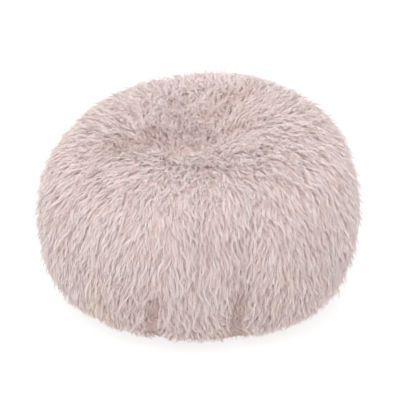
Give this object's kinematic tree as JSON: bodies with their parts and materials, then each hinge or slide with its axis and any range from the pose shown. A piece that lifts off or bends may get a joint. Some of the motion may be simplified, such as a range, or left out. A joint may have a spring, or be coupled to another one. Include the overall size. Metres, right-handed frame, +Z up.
{
  "type": "bean bag chair",
  "caption": "Round bean bag chair with a long-pile fur cover, a dented seat with a raised back rim, a zipped base and a zipped liner full of beads.",
  "frame": {"origin": "on the floor, under the middle of the bag", "axes": "+Z up, -Y the front (the low rim of the seat dent), +X to the sitter's left, the right of a viewer facing the front"},
  "size_m": [0.9552, 0.9534, 0.61],
  "materials": {
    "fur": "long silky dusty pink pile",
    "base_cloth": "plain woven polyester",
    "liner_cloth": "plain white non-woven",
    "zip_cloth": "woven tape",
    "zip_coil": "nylon coil",
    "liner_zip_cloth": "woven tape",
    "liner_zip_coil": "nylon coil",
    "nickel": "nickel-plated, worn bright at the edges",
    "label": "blank satin label",
    "beads": "expanded polystyrene beads"
  },
  "bodies": {
    "bag": {"cover_gore_1": "fur", "cover_gore_2": "fur", "cover_gore_3": "fur", "cover_gore_4": "fur", "cover_gore_5": "fur", "cover_gore_6": "fur", "cover_top_disc": "fur", "base_panel_front": "base_cloth", "base_panel_back": "base_cloth", "zip_tape_front": "zip_cloth", "zip_tape_back": "zip_cloth", "zip_coil_front": "zip_coil", "zip_coil_back": "zip_coil", "zip_top_stops": "nickel", "zip_bottom_stop": "nickel", "care_label": "label", "liner_gore_1": "liner_cloth", "liner_gore_2": "liner_cloth", "liner_gore_3": "liner_cloth", "liner_gore_4": "liner_cloth", "liner_gore_5": "liner_cloth", "liner_gore_6": "liner_cloth", "liner_top_disc": "liner_cloth", "liner_base_front": "liner_cloth", "liner_base_back": "liner_cloth", "liner_zip_tape_front": "liner_zip_cloth", "liner_zip_tape_back": "liner_zip_cloth", "liner_zip_coil_front": "liner_zip_coil", "liner_zip_coil_back": "liner_zip_coil", "liner_zip_stops": "nickel", "bead_fill": "beads"},
    "cover_zip_slider": {"zip_slider": "nickel"},
    "cover_zip_pull": {"zip_pull": "nickel"},
    "liner_slider": {"liner_zip_slider": "nickel"}
  },
  "joints": [
    {"name": "zip_slide", "type": "slide", "parent": "bag", "child": "cover_zip_slider", "axis": [1, 0, 0], "range_m": [0, 0.53]},
    {"name": "zip_pull_hinge", "type": "hinge", "parent": "cover_zip_slider", "child": "cover_zip_pull", "pos_m": [-0.2685, 0, 0.0071], "axis": [0, 1, 0], "range_deg": [0, 175]},
    {"name": "liner_zip_slide", "type": "slide", "parent": "bag", "child": "liner_slider", "axis": [1, 0, 0], "range_m": [0, 0.473]}
  ]
}
